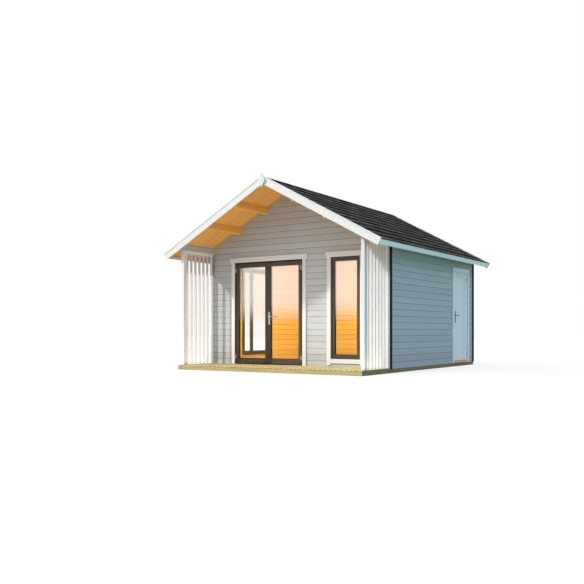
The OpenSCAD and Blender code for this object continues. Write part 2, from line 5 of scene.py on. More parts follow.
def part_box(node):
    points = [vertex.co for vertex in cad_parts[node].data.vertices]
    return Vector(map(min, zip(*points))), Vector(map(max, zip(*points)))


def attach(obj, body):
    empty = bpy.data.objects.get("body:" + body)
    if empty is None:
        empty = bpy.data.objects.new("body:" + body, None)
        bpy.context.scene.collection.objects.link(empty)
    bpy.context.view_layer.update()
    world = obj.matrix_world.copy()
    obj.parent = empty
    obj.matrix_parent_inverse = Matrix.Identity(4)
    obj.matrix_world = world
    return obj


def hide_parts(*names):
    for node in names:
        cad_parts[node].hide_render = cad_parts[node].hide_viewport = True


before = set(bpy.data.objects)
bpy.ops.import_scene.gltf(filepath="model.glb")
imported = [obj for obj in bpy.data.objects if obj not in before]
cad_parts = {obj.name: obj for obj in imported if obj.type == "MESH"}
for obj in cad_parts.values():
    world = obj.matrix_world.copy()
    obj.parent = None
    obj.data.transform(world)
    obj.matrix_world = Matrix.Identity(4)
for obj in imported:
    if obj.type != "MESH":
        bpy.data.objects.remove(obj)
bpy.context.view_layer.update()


# Base frame. Bearers and joists of pressure-treated pine lie flat on the ground and carry the cabin.
# They are planed boards, nailed into one grid. The treatment has left them yellow-green. The bearers and the
# ends of the outer joists get a low tone, which is painted shade.
random.seed(11)
base_low, base_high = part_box("base_frame")
bearer_width, bearer_ease = 0.060, 0.003
joist_spaces = 12
# Low tones that paint shade on the bearers and on the outer joists' ends.
painted_shade_tones = (-2.6, -2.3)
skin = 0.001
treated_pale, treated_deep = (0.62, 0.51, 0.24, 1), (0.46, 0.37, 0.145, 1)
treated_knot = (0.22, 0.15, 0.06, 1)
bare_wood = {"ring_share": 0.8, "roughness": 0.7, "relief": 0.35}


def put(tree, kind, values=None, **settings):
    """Adds a shader node, with its settings and with its inputs set or linked."""
    node = tree.nodes.new("ShaderNode" + kind)
    for name, value in settings.items():
        setattr(node, name, value)
    for name, value in (values or {}).items():
        if isinstance(value, bpy.types.NodeSocket):
            tree.links.new(value, node.inputs[name])
        else:
            node.inputs[name].default_value = value
    return node


def sums(tree, operation, a, b=0.0):
    return put(tree, "Math", {0: a, 1: b}, operation=operation).outputs[0]


def between(tree, value, low, high, to_low=0.0, to_high=1.0):
    """A value eased from one range into another."""
    values = {"Value": value, "From Min": low, "From Max": high, "To Min": to_low, "To Max": to_high}
    return put(tree, "MapRange", values, interpolation_type="SMOOTHSTEP").outputs["Result"]


def blended(tree, share, a, b):
    return put(tree, "Mix", {0: share, 6: a, 7: b}, data_type="RGBA").outputs[2]


def new_group(name, *sockets):
    group = bpy.data.node_groups.new(name, "ShaderNodeTree")
    for label, way, kind in sockets:
        group.interface.new_socket(label, in_out=way, socket_type="NodeSocket" + kind)
    return group, group.nodes.new("NodeGroupInput"), group.nodes.new("NodeGroupOutput")


def new_finish(name):
    material = bpy.data.materials.new(name)
    material.use_nodes = True
    return material, material.node_tree, material.node_tree.nodes["Principled BSDF"]


# Sawn softwood: growth rings that bend round knots, and fine fibres, with the board's length on X.
rings_per_metre, ring_drift, grain_depth = 95.0, 7.0, 0.0012
knots_per_metre, knot_core, knot_rim = 6.5, 0.055, 0.095
knot_reach, knot_push = 0.35, 1.6
drift_scale, fibre_scale = (0.7, 5.0, 5.0), (7.0, 190.0, 190.0)
grain, grain_in, grain_out = new_group(
    "wood grain", ("Board", "INPUT", "Vector"),
    ("Rings", "OUTPUT", "Float"), ("Fibre", "OUTPUT", "Float"), ("Knots", "OUTPUT", "Float"),
)
board = grain_in.outputs["Board"]
knot_far = put(grain, "TexVoronoi", {"Vector": board, "Scale": knots_per_metre}).outputs["Distance"]
drift = put(grain, "Mapping", {"Vector": board, "Scale": drift_scale}).outputs["Vector"]
drift = put(grain, "TexNoise", {"Vector": drift, "Scale": 1.0, "Detail": 1.0}).outputs["Fac"]
from_pith = {"Vector": board, "Location": (0, 0.02, 0.09), "Scale": (0, 1, 1)}
across = put(grain, "Mapping", from_pith).outputs["Vector"]
across = put(grain, "VectorMath", {0: across}, operation="LENGTH").outputs["Value"]
turns = sums(grain, "MULTIPLY", across, rings_per_metre)
turns = sums(grain, "ADD", turns, sums(grain, "MULTIPLY", drift, ring_drift))
turns = sums(grain, "ADD", turns, between(grain, knot_far, 0.0, knot_reach, knot_push, 0.0))
wave = sums(grain, "SINE", sums(grain, "MULTIPLY", turns, 2 * math.pi))
fibre = put(grain, "Mapping", {"Vector": board, "Scale": fibre_scale}).outputs["Vector"]
fibre = put(grain, "TexNoise", {"Vector": fibre, "Scale": 1.0, "Detail": 3.0}).outputs["Fac"]
grain.links.new(between(grain, wave, -0.6, 1.0), grain_out.inputs["Rings"])
grain.links.new(fibre, grain_out.inputs["Fibre"])
grain.links.new(between(grain, knot_far, knot_core, knot_rim, 1.0, 0.0), grain_out.inputs["Knots"])
deep_share, tone_share, tone_start = 0.7, 0.2, 0.9
wear_share, ring_relief = 0.35, 0.5


def timber(name, pale, deep, knot, ring_share, roughness, relief):
    """A finish for boards that carry their own grain and tone."""
    material, tree, bsdf = new_finish(name)
    grown = put(tree, "Attribute", attribute_name="wood").outputs["Vector"]
    tone = put(tree, "Attribute", attribute_name="tone").outputs["Fac"]
    wood = put(tree, "Group", {"Board": grown}, node_tree=grain)
    rings = sums(tree, "MULTIPLY", wood.outputs["Rings"], ring_share)
    streaks = sums(tree, "MULTIPLY", wood.outputs["Fibre"], ring_share)
    darker = sums(tree, "MULTIPLY", sums(tree, "ADD", rings, streaks), deep_share)
    colour = blended(tree, darker, pale, deep)
    colour = blended(tree, wood.outputs["Knots"], colour, knot)
    shade = sums(tree, "ADD", sums(tree, "MULTIPLY", tone, tone_share), tone_start)
    toned = put(tree, "HueSaturation", {"Value": shade, "Color": colour})
    tree.links.new(toned.outputs["Color"], bsdf.inputs["Base Color"])
    worn = sums(tree, "MULTIPLY", sums(tree, "SUBTRACT", wood.outputs["Fibre"], 0.5), wear_share)
    tree.links.new(sums(tree, "ADD", worn, roughness), bsdf.inputs["Roughness"])
    raised = sums(tree, "MULTIPLY", wood.outputs["Rings"], ring_relief)
    height = sums(tree, "ADD", wood.outputs["Fibre"], raised)
    bump = put(tree, "Bump", {"Strength": relief, "Distance": grain_depth, "Height": height})
    tree.links.new(bump.outputs["Normal"], bsdf.inputs["Normal"])
    return material


treated = timber("treated pine", treated_pale, treated_deep, treated_knot, **bare_wood)
grain_reach = (40, 0.05, 0.05)
fine_ease = 0.002


def bench():
    """An empty mesh whose points keep their place in the board that they belong to."""
    bm = bmesh.new()
    bm.verts.layers.float_vector.new("wood")
    bm.verts.layers.float.new("tone")
    return bm


def mark(bm, verts, grain_way, tones=(0.0, 1.0)):
    """Gives one board its own stretch of grain and its own tone."""
    wood, tone = bm.verts.layers.float_vector["wood"], bm.verts.layers.float["tone"]
    start = Vector([random.uniform(0, reach) for reach in grain_reach])
    shade, to_board = random.uniform(*tones), grain_way.inverted()
    for v in verts:
        v[wood], v[tone] = to_board @ v.co + start, shade


LENGTHWAYS = {
    "X": Matrix.Identity(4),
    "Y": Matrix.Rotation(math.pi / 2, 4, "Z"),
    "Z": Matrix.Rotation(-math.pi / 2, 4, "Y"),
}


def plank(bm, low, high, along, ease=fine_ease, place=Matrix.Identity(4), tones=(0.0, 1.0)):
    """One planed board between two corners, its edges eased, then set in place."""
    low, high = Vector(low), Vector(high)
    middle = Matrix.Translation((low + high) / 2) @ Matrix.Diagonal((*(high - low), 1))
    sawn = bmesh.ops.create_cube(bm, size=1.0, matrix=middle)["verts"]
    edges = list({e for v in sawn for e in v.link_edges})
    eased = bmesh.ops.bevel(
        bm, geom=edges, offset=ease, segments=1, profile=0.5, affect="EDGES", material=-1, clamp_overlap=True
    )
    verts = [v for v in sawn if v.is_valid] + eased["verts"]
    mark(bm, verts, LENGTHWAYS[along], tones)
    bmesh.ops.transform(bm, matrix=place, verts=verts)
    return verts


def piece(name, bm, finish, body="cabin", nodes=(), smooth=None):
    """Makes the mesh an object of the cabin that rides on a body and stands for its nodes."""
    mesh = bpy.data.meshes.new(name)
    bm.to_mesh(mesh)
    bm.free()
    mesh.materials.append(finish)
    if smooth is not None:
        mesh.shade_smooth()
        mesh.set_sharp_from_angle(angle=math.radians(smooth))
    made = bpy.data.objects.new(name, mesh)
    bpy.context.scene.collection.objects.link(made)
    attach(made, body)
    if nodes:
        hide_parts(*nodes)


base = bench()
for x in (base_low.x, -bearer_width / 2, base_high.x - bearer_width):
    low, high = (x, base_low.y + bearer_width, 0), (x + bearer_width, base_high.y - bearer_width, base_high.z)
    plank(base, low, high, "Y", bearer_ease, tones=painted_shade_tones)
joist_step = (base_high.y - base_low.y - bearer_width) / joist_spaces
joist_ys = [base_low.y + i * joist_step for i in range(joist_spaces + 1)]
tone = base.verts.layers.float["tone"]
for y in (joist_ys[0], joist_ys[-1]):
    low, high = (base_low.x, y, 0), (base_high.x, y + bearer_width, base_high.z)
    # The end grain of the front and back joists takes the same painted shade.
    for v in plank(base, low, high, "X", bearer_ease):
        if not base_low.x + skin < v.co.x < base_high.x - skin:
            v[tone] = painted_shade_tones[0]
for y in joist_ys[1:-1]:
    for x0, x1 in ((base_low.x, 0), (0, base_high.x)):
        low = (x0 + bearer_width if x0 else bearer_width / 2, y, 0)
        high = (x1 - bearer_width if x1 else -bearer_width / 2, y + bearer_width, base_high.z)
        plank(base, low, high, "X", bearer_ease)
piece("bearers_and_joists", base, treated, nodes=["base_frame"])


# Porch deck. Pressure-treated deck boards run from the front edge to the wall with a gap between them. Their
# sides in the gaps, and less so the deck's outer sides, are darkened as painted shade. Two countersunk screws
# hold each board on each joist below it.
random.seed(12)
deck_low, deck_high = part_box("porch_deck")
deck_pitch, deck_gap, deck_ease, deck_joists = 0.100, 0.009, 0.006, 3
screw_radius, screw_off = 0.0042, 0.028
# Colour of the painted shade in the gaps, and its share on the deck's outer sides.
gap_shade_colour, edge_shade_share = (0.030, 0.022, 0.010, 1), 0.5
head_taper, head_depth, recess_rim, recess_depth = 0.85, 0.0016, 0.42, 0.0009
brush_scale, brush_depth = (900.0, 900.0, 25.0), 0.0004
mark_scale, mark_share, mark_dark, mark_dull = 38.0, 0.5, 0.72, 0.12
deck_count = round((deck_high.x - deck_low.x) / deck_pitch)


def metal(name, colour, roughness, brushed):
    """A metal with fine brushing along its length and faint handling marks."""
    material, tree, bsdf = new_finish(name)
    place = put(tree, "TexCoord").outputs["Object"]
    lines = put(tree, "Mapping", {"Vector": place, "Scale": brush_scale}).outputs["Vector"]
    lines = put(tree, "TexNoise", {"Vector": lines, "Scale": 1.0, "Detail": 2.0}).outputs["Fac"]
    marks = put(tree, "TexNoise", {"Vector": place, "Scale": mark_scale, "Detail": 4.0}).outputs["Fac"]
    handled = tuple(c * mark_dark for c in colour[:3]) + (1,)
    tint = blended(tree, sums(tree, "MULTIPLY", marks, mark_share), colour, handled)
    tree.links.new(tint, bsdf.inputs["Base Color"])
    varied = sums(tree, "MULTIPLY", lines, brushed)
    varied = sums(tree, "ADD", varied, sums(tree, "MULTIPLY", marks, mark_dull))
    tree.links.new(sums(tree, "ADD", varied, roughness), bsdf.inputs["Roughness"])
    bump = put(tree, "Bump", {"Strength": 0.06, "Distance": brush_depth, "Height": lines})
    tree.links.new(bump.outputs["Normal"], bsdf.inputs["Normal"])
    bsdf.inputs["Metallic"].default_value = 1.0
    return material


trodden = timber("deck boards", treated_pale, treated_deep, treated_knot, **bare_wood)
tree = trodden.node_tree
clean = tree.nodes["Principled BSDF"].inputs["Base Color"]
deck_shade = put(tree, "Attribute", attribute_name="deck_shade").outputs["Fac"]
tree.links.new(blended(tree, deck_shade, clean.links[0].from_socket, gap_shade_colour), clean)
deck = bench()
deck_shade = deck.verts.layers.float.new("deck_shade")
for i in range(deck_count):
    start = deck_low.x + i * deck_pitch + (deck_gap / 2 if i else 0)
    end = deck_low.x + (i + 1) * deck_pitch - (deck_gap / 2 if i < deck_count - 1 else 0)
    low, high = (start, deck_low.y, deck_low.z), (end, deck_high.y, deck_high.z)
    near, far = start + deck_ease / 2, end - deck_ease / 2
    for v in plank(deck, low, high, "Y", deck_ease):
        # Points on a gap side get full painted shade, points on the deck's outer sides get part of it.
        by_gap = (i > 0 and v.co.x < near) or (i < deck_count - 1 and v.co.x > far)
        outer = not deck_low.x + skin < v.co.x < deck_high.x - skin
        v[deck_shade] = 1.0 if by_gap else edge_shade_share if outer else 0.0
piece("deck_boards", deck, trodden, nodes=["porch_deck"])

screw_steel = metal("zinc screws", (0.36, 0.33, 0.27, 1), roughness=0.4, brushed=0.1)


def screw_head(bm, at, way, radius=screw_radius):
    """A countersunk head with a round recess, just proud of the face that it is driven into."""
    turn = Vector((0, 0, 1)).rotation_difference(Vector(way)).to_matrix().to_4x4()
    place = Matrix.Translation(Vector(at)) @ turn
    head = bmesh.ops.create_cone(
        bm, cap_ends=True, segments=10, radius1=radius, radius2=radius * head_taper, depth=head_depth,
        matrix=place,
    )["verts"]
    faces = {f for v in head for f in v.link_faces}
    top = max(faces, key=lambda f: f.normal.dot(Vector(way)) * f.calc_area())
    bmesh.ops.inset_individual(bm, faces=[top], thickness=radius * recess_rim, depth=-recess_depth)


deck_screws = bench()
for y in joist_ys[:deck_joists]:
    for i in range(deck_count):
        for side in (-screw_off, screw_off):
            x = deck_low.x + (i + 0.5) * deck_pitch + side
            screw_head(deck_screws, (x, y + bearer_width / 2, deck_high.z), (0, 0, 1))
piece("deck_screws", deck_screws, screw_steel)


# Room floor. Tongued and grooved pine boards run from the front wall to the back wall, nailed through
# the tongue, so only a fine V shows between them. They stop at the sills of both doors.
random.seed(13)
floor_low, floor_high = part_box("room_floor")
floor_pitch, floor_ease, least_board = 0.1148, 0.0015, 0.01
door_low, door_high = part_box("door_frame")
side_low, side_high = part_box("side_door_frame")
pine_pale, pine_deep, pine_knot = (0.85, 0.43, 0.095, 1), (0.68, 0.29, 0.042, 1), (0.26, 0.095, 0.022, 1)
pine = timber("oiled pine", pine_pale, pine_deep, pine_knot, ring_share=0.55, roughness=0.42, relief=0.2)
floor_boards = bench()
x = floor_low.x
while x < side_low.x - least_board:
    end = min(x + floor_pitch, side_low.x)
    start = door_high.y if x < door_high.x and end > door_low.x else floor_low.y
    plank(floor_boards, (x, start, floor_low.z), (end, floor_high.y, floor_high.z), "Y", floor_ease)
    x = end
for y0, y1 in ((floor_low.y, side_low.y), (side_high.y, floor_high.y)):
    plank(floor_boards, (side_low.x, y0, floor_low.z), (floor_high.x, y1, floor_high.z), "Y", floor_ease)
piece("floor_boards", floor_boards, pine, nodes=["room_floor"])


# Log walls. Planed spruce logs lie on each other with a V joint at every course, cross-halved at the
# corners. Outside they have a coat of warm grey paint, inside they are waxed and yellow.
log_pitch, log_start, half_log = 0.118, 0.070, 0.022
joint_start, joint_full, joint_dark = 0.455, 0.490, 0.60
splash_top, splash_dark = 0.55, 0.14
log_shift, log_turn, log_streaks = 30.0, 0.37, 0.45
log_level, log_vary, log_rough, log_wear, log_rings, log_relief = 0.95, 0.1, 0.38, 0.3, 0.4, 0.22
grey_paint, grey_deep = (0.535, 0.54, 0.54, 1), (0.452, 0.455, 0.453, 1)
wax_pale, wax_deep, wax_knot = (0.84, 0.68, 0.32, 1), (0.74, 0.54, 0.19, 1), (0.38, 0.20, 0.060, 1)
half_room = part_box("right_wall_front")[1].x - half_log
front_half, back_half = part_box("front_gable")[0].y + half_log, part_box("back_wall")[1].y - half_log
log_finish, tree, bsdf = new_finish("painted logs")
place = put(tree, "TexCoord").outputs["Object"]
xyz = put(tree, "SeparateXYZ", {"Vector": place}).outputs
faces = put(tree, "SeparateXYZ", {"Vector": put(tree, "NewGeometry").outputs["True Normal"]}).outputs
side_face = sums(tree, "GREATER_THAN", sums(tree, "ABSOLUTE", faces["X"]), 0.5)
along = put(tree, "Mix", {0: side_face, 2: xyz["X"], 3: xyz["Y"]}, data_type="FLOAT").outputs[0]
course = sums(tree, "DIVIDE", sums(tree, "SUBTRACT", xyz["Z"], log_start), log_pitch)
number = sums(tree, "FLOOR", course)
up_log = sums(tree, "ABSOLUTE", sums(tree, "SUBTRACT", sums(tree, "FRACT", course), 0.5))
chance = put(tree, "TexWhiteNoise", {"W": number}, noise_dimensions="1D").outputs["Value"]
log_place = put(tree, "CombineXYZ", {
    "X": sums(tree, "ADD", along, sums(tree, "MULTIPLY", chance, log_shift)),
    "Y": sums(tree, "MULTIPLY", number, log_turn), "Z": xyz["Z"],
}).outputs["Vector"]
wood = put(tree, "Group", {"Board": log_place}, node_tree=grain)
inside = sums(tree, "LESS_THAN", sums(tree, "ABSOLUTE", xyz["X"]), half_room)
inside = sums(tree, "MULTIPLY", inside, sums(tree, "GREATER_THAN", xyz["Y"], front_half))
inside = sums(tree, "MULTIPLY", inside, sums(tree, "LESS_THAN", xyz["Y"], back_half))
streaks = sums(tree, "ADD", wood.outputs["Rings"], wood.outputs["Fibre"])
streaks = sums(tree, "MULTIPLY", streaks, log_streaks)
painted = blended(tree, streaks, grey_paint, grey_deep)
waxed = blended(tree, wood.outputs["Knots"], blended(tree, streaks, wax_pale, wax_deep), wax_knot)
colour = blended(tree, inside, painted, waxed)
joint = between(tree, up_log, joint_start, joint_full)
log_tone = sums(tree, "ADD", log_level, sums(tree, "MULTIPLY", chance, log_vary))
shade = sums(tree, "SUBTRACT", log_tone, sums(tree, "MULTIPLY", joint, joint_dark))
splash = put(tree, "TexNoise", {"Vector": place, "Scale": 7.0, "Detail": 4.0}).outputs["Fac"]
splash = sums(tree, "MULTIPLY", splash, between(tree, xyz["Z"], log_start, splash_top, splash_dark, 0.0))
shade = sums(tree, "SUBTRACT", shade, splash)
toned = put(tree, "HueSaturation", {"Value": shade, "Color": colour})
tree.links.new(toned.outputs["Color"], bsdf.inputs["Base Color"])
worn = sums(tree, "MULTIPLY", wood.outputs["Fibre"], log_wear)
tree.links.new(sums(tree, "ADD", worn, log_rough), bsdf.inputs["Roughness"])
height = sums(tree, "ADD", wood.outputs["Fibre"], sums(tree, "MULTIPLY", wood.outputs["Rings"], log_rings))
bump = put(tree, "Bump", {"Strength": log_relief, "Distance": grain_depth, "Height": height})
tree.links.new(bump.outputs["Normal"], bsdf.inputs["Normal"])
for name in (
    "front_wall_left", "front_wall_middle", "front_wall_right", "front_gable", "right_wall_front",
    "right_wall_back", "left_wall_front", "left_wall_back", "infill_logs", "back_wall", "eave_beams",
):
    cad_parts[name].material_slots[0].material = log_finish


# Corner boards. A planed board over the log ends at each corner, brush-painted black and nailed on.
# Its top follows the slope of the roof.
random.seed(14)
corner_low, corner_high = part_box("corner_boards")
corner_width, cover_ease, nail_clear = 0.075, 0.0015, 0.010
nail_taper, nail_depth = 0.7, 0.0012
weld, flat, sharp_from = 0.00001, math.radians(1.0), math.radians(25)
black_pale, black_deep = (0.004, 0.004, 0.005, 1), (0.002, 0.002, 0.003, 1)
black_knot = (0.002, 0.002, 0.002, 1)


def joined_parts(bm):
    """The separate solids of a mesh, one list of points each."""
    seen = set()
    for first in bm.verts:
        if first in seen:
            continue
        seen.add(first)
        part, edge = [], [first]
        while edge:
            v = edge.pop()
            part.append(v)
            for other in (e.other_vert(v) for e in v.link_edges):
                if other not in seen:
                    seen.add(other)
                    edge.append(other)
        yield part


def sawn_copy(node):
    """A copy of a CAD node with whole faces."""
    bm = bmesh.new()
    bm.from_mesh(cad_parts[node].data)
    bm.verts.layers.float_vector.new("wood")
    bm.verts.layers.float.new("tone")
    bmesh.ops.remove_doubles(bm, verts=bm.verts, dist=weld)
    bmesh.ops.dissolve_limit(bm, angle_limit=flat, verts=bm.verts, edges=bm.edges)
    return bm


def planed(node, ease, grain_way, segments=1):
    """A copy of a CAD node with its sharp edges eased and the grain along each of its boards."""
    bm = sawn_copy(node)
    sharp = [e for e in bm.edges if e.is_manifold and e.calc_face_angle() > sharp_from]
    bmesh.ops.bevel(
        bm, geom=sharp, offset=ease, segments=segments, profile=0.5, affect="EDGES", material=-1,
        clamp_overlap=True,
    )
    for part in joined_parts(bm):
        mark(bm, part, grain_way)
    return bm


black_paint = timber(
    "black paint", black_pale, black_deep, black_knot, ring_share=0.6, roughness=0.6, relief=0.2
)
black_paint.node_tree.nodes["Principled BSDF"].inputs["Specular IOR Level"].default_value = 0.08
covers = planed("corner_boards", cover_ease, LENGTHWAYS["Z"])
piece("corner_covers", covers, black_paint, nodes=["corner_boards"])


def nail_rows(bm, low, high, along, way, place=Matrix.Identity(4), spacing=0.36, edge=0.018, radius=0.0035):
    """Pairs of nail heads along one face of a board, just proud of it and painted over."""
    run, out = "XYZ".index(along), max(range(3), key=lambda k: abs(way[k]))
    rise = 3 - run - out
    turn = Vector((0, 0, 1)).rotation_difference(Vector(way)).to_matrix().to_4x4()
    length = high[run] - low[run] - 2 * edge
    pairs = max(1, round(length / spacing))
    face = high[out] if way[out] > 0 else low[out]
    for i in range(pairs + 1):
        for across in (low[rise] + edge, high[rise] - edge):
            at = Vector((0, 0, 0))
            at[run], at[rise], at[out] = low[run] + edge + i * length / pairs, across, face
            head = bmesh.ops.create_cone(
                bm, cap_ends=True, segments=8, radius1=radius, radius2=radius * nail_taper, depth=nail_depth,
                matrix=place @ Matrix.Translation(at) @ turn,
            )["verts"]
            mark(bm, head, LENGTHWAYS["Z"])


corner_nails = bench()
for y in (corner_low.y, corner_high.y - corner_width):
    low = (corner_low.x, y, corner_low.z)
    high = (corner_high.x, y + corner_width, corner_high.z - nail_clear)
    nail_rows(corner_nails, low, high, "Z", (-1, 0, 0))
    nail_rows(corner_nails, low, high, "Z", (1, 0, 0))
piece("corner_nails", corner_nails, black_paint)


# Porch posts and screens. Square posts carry the eave beams, and on both sides slats stand on the deck
# under a rail. All are planed spruce with two coats of white paint. A thin black strip in each corner between
# a screen and the front wall paints the shadow in the gap there.
random.seed(15)
white_pale, white_deep, white_knot = (0.83, 0.78, 0.74, 1), (0.75, 0.70, 0.66, 1), (0.72, 0.67, 0.61, 1)
white_paint = timber(
    "white paint", white_pale, white_deep, white_knot, ring_share=0.35, roughness=0.42, relief=0.18
)
post_ease = 0.004
posts = planed("porch_posts", post_ease, LENGTHWAYS["Z"], segments=2)
piece("posts", posts, white_paint, nodes=["porch_posts"])
slat_count, slat_thick, rail_height = 7, 0.022, 0.050
# A black strip in each screen's corner, which paints the shadow in the gap.
strip_width, strip_thick, strip_ease = 0.010, 0.006, 0.001
corner_shade_strips = bench()
for side in ("left", "right"):
    low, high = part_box(side + "_screen")
    screen = bench()
    pitch = (high.y - low.y) / slat_count
    for i in range(slat_count):
        y = low.y + (i + 0.5) * pitch - slat_thick / 2
        plank(screen, (low.x, y, low.z), (high.x, y + slat_thick, high.z - rail_height), "Z")
    plank(screen, (low.x, low.y, high.z - rail_height), high, "Y")
    piece(side + "_screen_slats", screen, white_paint, nodes=[side + "_screen"])
    inner = high.x if side == "left" else low.x - strip_width
    strip_low, strip_high = (inner, high.y - strip_thick, low.z), (inner + strip_width, high.y, high.z)
    plank(corner_shade_strips, strip_low, strip_high, "Z", strip_ease)
piece("corner_shade_strips", corner_shade_strips, black_paint)


# Purlins. Solid beams of oiled pine from gable to gable carry the roof boards, let into the log gables. Their
# tone is raised above the other pine, which paints light on them.
# Their tops are cut to the slope, and their lower edges are rounded on the porch and in the room, but stay
# square where they lie in the logs.
random.seed(16)
round_percent, round_steps = 45, 6
# A raised tone that paints light on the purlins.
purlin_light_tones = (1.0, 1.6)
free_length, corner_from = 1.0, 1.0
beams = sawn_copy("purlins")
for wall in ("front_gable", "back_wall"):
    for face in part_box(wall):
        whole = beams.verts[:] + beams.edges[:] + beams.faces[:]
        bmesh.ops.bisect_plane(beams, geom=whole, plane_co=(0, face.y, 0), plane_no=(0, 1, 0))


def lower_edge(edge):
    """One of the long edges under a free stretch of a beam."""
    long = abs(edge.verts[0].co.y - edge.verts[1].co.y) > free_length
    below = sum(face.normal.z for face in edge.link_faces) < 0
    return long and below and edge.calc_face_angle() > corner_from


bmesh.ops.bevel(
    beams, geom=[e for e in beams.edges if lower_edge(e)], offset=round_percent, offset_type="PERCENT",
    segments=round_steps, profile=0.5, affect="EDGES", material=-1, clamp_overlap=True,
)
for part in joined_parts(beams):
    mark(beams, part, LENGTHWAYS["Y"], purlin_light_tones)
piece("purlin_beams", beams, pine, nodes=["purlins"], smooth=35)


# Roof boards. Tongued and grooved pine boards run from the ridge to the eaves, nailed on the purlins.
# Their lower side with its V joints is the ceiling and the soffit of the porch.
random.seed(37)
roof_slope = math.radians(28.5)
eave_height, half_house = 2.404, 2.0
soffit_ridge = eave_height + half_house * math.tan(roof_slope)
right_slope = Matrix.Translation((0, 0, soffit_ridge)) @ Matrix.Rotation(roof_slope, 4, "Y")
left_slope = Matrix.Rotation(math.pi, 4, "Z") @ right_slope
slopes = {"left": left_slope, "right": right_slope}
roof_front, roof_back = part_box("right_roof_boards")[0].y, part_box("right_roof_boards")[1].y
roof_length, board_count = 2.6290, 57
ridge_gap, board_bed, board_top, board_ease = 0.001, 0.0001, 0.0191, 0.005
board_tones = (0.1, 0.9)
board_width = (roof_back - roof_front) / board_count
for side, slope in slopes.items():
    boards = bench()
    for i in range(board_count):
        y = roof_front + i * board_width
        low, high = (ridge_gap, y, board_bed), (roof_length, y + board_width, board_top)
        plank(boards, low, high, "X", board_ease, slope, board_tones)
    piece(side + "_ceiling_boards", boards, pine, nodes=[side + "_roof_boards"])


# Shingles. Over a black roofing felt, mineral-coated bitumen strips, cut into tabs, are nailed from the eave
# upwards, each course lapping the one below. The granules are charcoal, in darker and lighter courses.
random.seed(18)
tab_width, tab_slot, exposure, tab_length, tab_thick = 0.333, 0.006, 0.128, 0.148, 0.003
eave_edge, first_course, shingle_bed = 2.660, 2.733, 0.0194
tab_lift, tab_ease, least_tab, end_slack = 0.0033, 0.0008, 0.02, 0.01
dark_row, pale_row = (0.0, 0.15), (0.55, 1.0)
felt_margin, felt_back, felt_sunk, felt_proud, felt_ease = 0.002, 0.005, 0.0002, 0.0005, 0.0001
dark_grit, pale_grit, grit_depth = (0.018, 0.0165, 0.015, 1), (0.118, 0.108, 0.101, 1), 0.0012
grit_scale, cloud_scale, row_share, cloud_share = 420.0, 3.0, 1.5, 0.4
shingle_finish, tree, bsdf = new_finish("charcoal shingles")
place = put(tree, "TexCoord").outputs["Object"]
tone = put(tree, "Attribute", attribute_name="tone").outputs["Fac"]
grit = put(tree, "TexVoronoi", {"Vector": place, "Scale": grit_scale}).outputs
speck = put(tree, "SeparateColor", {"Color": grit["Color"]}).outputs[0]
colour = blended(tree, between(tree, speck, 0.2, 1.0), dark_grit, pale_grit)
cloud = put(tree, "TexNoise", {"Vector": place, "Scale": cloud_scale, "Detail": 5.0}).outputs["Fac"]
shade = sums(tree, "MULTIPLY", tone, row_share)
shade = sums(tree, "ADD", shade, sums(tree, "MULTIPLY", cloud, cloud_share))
toned = put(tree, "HueSaturation", {"Value": shade, "Color": colour})
tree.links.new(toned.outputs["Color"], bsdf.inputs["Base Color"])
tree.links.new(between(tree, speck, 0.0, 1.0, 0.95, 0.75), bsdf.inputs["Roughness"])
bsdf.inputs["Specular IOR Level"].default_value = 0.0
bump = put(tree, "Bump", {"Strength": 0.5, "Distance": grit_depth, "Height": grit["Distance"]})
tree.links.new(bump.outputs["Normal"], bsdf.inputs["Normal"])
lift = Matrix.Rotation(-math.atan(tab_lift / exposure), 4, "Y")
for side, slope in slopes.items():
    felt = bench()
    low = (felt_margin, roof_front + felt_margin, shingle_bed - felt_sunk)
    high = (eave_edge - felt_back, roof_back - felt_margin, shingle_bed + felt_proud)
    plank(felt, low, high, "Y", felt_ease, slope, (0.0, 0.0))
    piece(side + "_roofing_felt", felt, shingle_finish)
    tabs = bench()
    for row in range(math.ceil((first_course - least_tab) / exposure)):
        butt = min(eave_edge, first_course - row * exposure)
        tones = pale_row if row % 2 else dark_row
        y = roof_front - (row % 3) * tab_width / 3
        while y < roof_back - end_slack:
            start, end = max(y + tab_slot / 2, roof_front), min(y + tab_width - tab_slot / 2, roof_back)
            if end - start > least_tab:
                place = slope @ Matrix.Translation((butt, 0, shingle_bed + tab_lift)) @ lift
                low, high = (-min(tab_length, butt), start, 0), (0, end, tab_thick)
                plank(tabs, low, high, "X", tab_ease, place, tones)
            y += tab_width
    piece(side + "_shingles", tabs, shingle_finish, nodes=[side + "_roof_covering"])


# Ridge. Single shingles of the same charcoal bitumen are warmed, folded over the ridge and nailed, each
# lapping the last one.
random.seed(19)
cap_width, cap_length, cap_pitch, cap_bed = 0.120, 0.205, 0.140, 0.0262
cap_lift, cap_fold = 0.0028, 0.0165
caps = bench()
cap_y = roof_front
while cap_y < roof_back - least_tab:
    end = min(cap_y + cap_length, roof_back)
    for way, slope in ((1, right_slope), (-1, left_slope)):
        near, far = (cap_y, end) if way > 0 else (-end, -cap_y)
        hinge = Matrix.Translation((0, far if way > 0 else near, cap_bed))
        tilt = Matrix.Rotation(-way * math.atan(cap_lift / cap_pitch), 4, "X")
        place = slope @ hinge @ tilt @ hinge.inverted()
        low, high = (-cap_fold, near, cap_bed), (cap_width, far, cap_bed + tab_thick)
        plank(caps, low, high, "Y", tab_ease, place)
    cap_y += cap_pitch
piece("ridge_shingles", caps, shingle_finish, nodes=["ridge_cap"])
